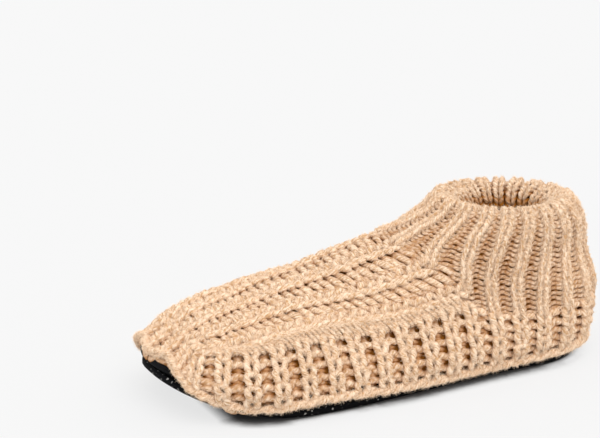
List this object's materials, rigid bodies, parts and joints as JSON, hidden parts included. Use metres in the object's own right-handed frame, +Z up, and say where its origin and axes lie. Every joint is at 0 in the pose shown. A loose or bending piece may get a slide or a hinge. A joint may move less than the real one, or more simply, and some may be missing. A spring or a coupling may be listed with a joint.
{
  "type": "slipper sock",
  "caption": "Low chunky rib-knit slipper sock with a folded-in collar, a ribbed instep flap and side band, and a thin black sole.",
  "frame": {"origin": "on the floor, at the middle of the sock's box seen from above", "axes": "+X towards the toe, +Z up out of the collar, Y across the foot"},
  "size_m": [0.247, 0.1048, 0.0831],
  "materials": {
    "knit_yarn": "soft matt tan yarn, rib knit",
    "sole_black": "matt black, fine grain",
    "insole_felt": "matt felted pad"
  },
  "bodies": {
    "root": {"upper": "knit_yarn", "sole": "sole_black", "insole": "insole_felt"}
  },
  "joints": []
}
